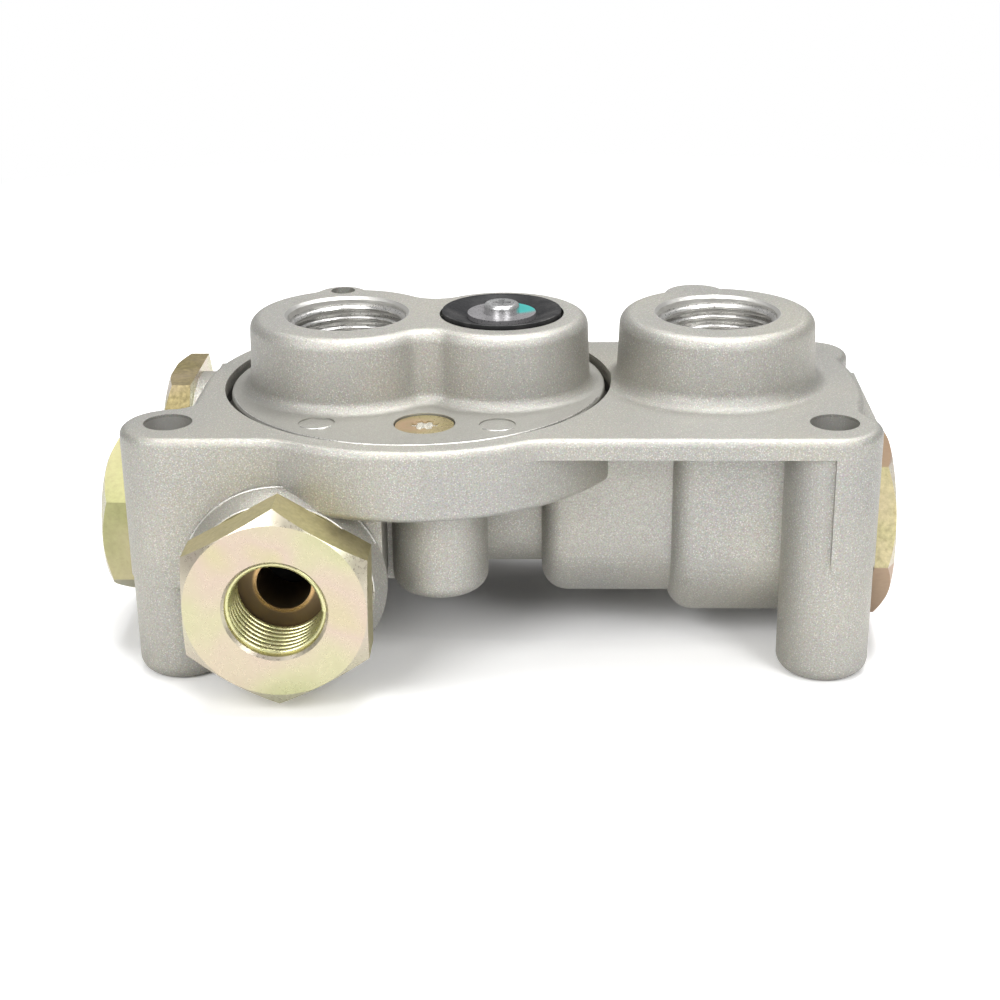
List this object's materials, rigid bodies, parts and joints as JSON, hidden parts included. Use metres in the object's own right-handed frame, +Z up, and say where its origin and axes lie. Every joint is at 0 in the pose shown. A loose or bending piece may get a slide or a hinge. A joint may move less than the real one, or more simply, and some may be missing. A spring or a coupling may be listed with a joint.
{
  "type": "tractor protection valve",
  "caption": "Cast air valve with tapped ports on top, a flap covered exhaust, hexagonal side fittings and standing legs; a sprung plunger and a shuttle slide inside.",
  "frame": {"origin": "halfway between the two front mounting holes, at the bottom of the legs", "axes": "+Z up along the mounting holes, +X along the line from the left to the right front hole, +Y from the front of the valve to its back"},
  "size_m": [0.1376, 0.0921, 0.0589],
  "materials": {
    "housing_cast": "die cast, fine speckle, satin",
    "cover_cast": "die cast, fine speckle, satin",
    "fitting_zinc": "steel, yellow zinc plated, iridescent",
    "cap_zinc": "steel, yellow zinc plated, iridescent",
    "screw_zinc": "steel, yellow zinc plated",
    "black_rubber": "black nitrile rubber",
    "washer_steel": "plain steel",
    "pan_screw_steel": "bright steel",
    "plunger_metal": "turned aluminium",
    "spring_steel": "spring wire",
    "shuttle_plastic": "moulded plastic"
  },
  "bodies": {
    "valve_body": {"housing": "housing_cast", "cover": "cover_cast", "cover_screw_front": "screw_zinc", "cover_screw_back": "screw_zinc", "cover_seal": "black_rubber", "exhaust_flap": "black_rubber", "flap_washer": "washer_steel", "flap_screw": "pan_screw_steel", "front_adapter": "fitting_zinc", "front_adapter_o_ring": "black_rubber", "left_adapter": "fitting_zinc", "left_adapter_o_ring": "black_rubber", "supply_adapter": "cap_zinc", "supply_adapter_o_ring": "black_rubber", "end_cap": "cap_zinc", "end_cap_o_ring": "black_rubber", "plunger_spring": "spring_steel", "release_diaphragm": "black_rubber"},
    "plunger_body": {"plunger": "plunger_metal", "plunger_large_o_ring": "black_rubber", "plunger_small_o_ring": "black_rubber", "plunger_face_seal": "black_rubber"},
    "shuttle_body": {"shuttle": "shuttle_plastic"}
  },
  "joints": [
    {"name": "plunger_slide", "type": "slide", "parent": "valve_body", "child": "plunger_body", "axis": [1, 0, 0], "range_m": [0, 0.006], "stiffness_N_per_m": 1500, "springref_m": -0.006, "deforming": ["plunger_spring"]},
    {"name": "shuttle_slide", "type": "slide", "parent": "valve_body", "child": "shuttle_body", "axis": [0, 1, 0], "range_m": [0, 0.0037]}
  ]
}
